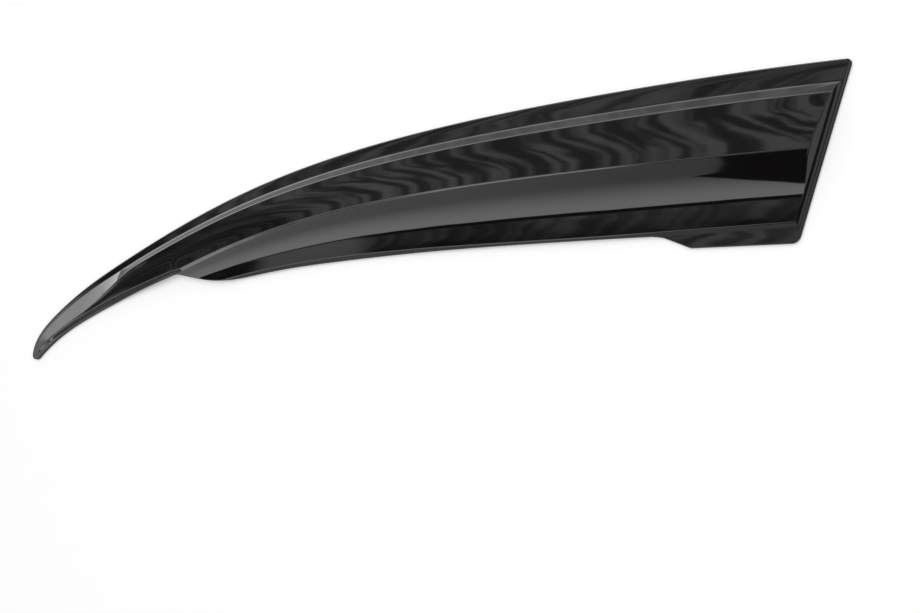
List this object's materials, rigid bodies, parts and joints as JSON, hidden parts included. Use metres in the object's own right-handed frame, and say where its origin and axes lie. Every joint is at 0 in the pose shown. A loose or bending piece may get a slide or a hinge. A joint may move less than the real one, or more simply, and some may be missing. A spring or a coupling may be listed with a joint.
{
  "type": "window rain deflector",
  "caption": "Stick-on rain deflector for a car's front door window: a long tapering smoked moulding with a raised crown and a flat flange, backed with adhesive tape.",
  "frame": {"origin": "middle of the plan, on the plane of the tapes' liners, which is the face stuck to the door", "axes": "+X towards the rear of the car, +Y up to the roof, +Z out from the window"},
  "size_m": [0.864, 0.2688, 0.0206],
  "materials": {
    "smoked_acrylic": "polished",
    "foam_tape": "fine closed-cell foam",
    "release_liner": "satin film"
  },
  "bodies": {
    "root": {"visor_shell": "smoked_acrylic", "top_1_tape": "foam_tape", "top_2_tape": "foam_tape", "top_3_tape": "foam_tape", "top_4_tape": "foam_tape", "tip_tape": "foam_tape", "end_tape": "foam_tape", "tab_tape": "foam_tape", "top_1_liner": "release_liner", "top_2_liner": "release_liner", "top_3_liner": "release_liner", "top_4_liner": "release_liner", "tip_liner": "release_liner", "end_liner": "release_liner", "tab_liner": "release_liner"}
  },
  "joints": []
}
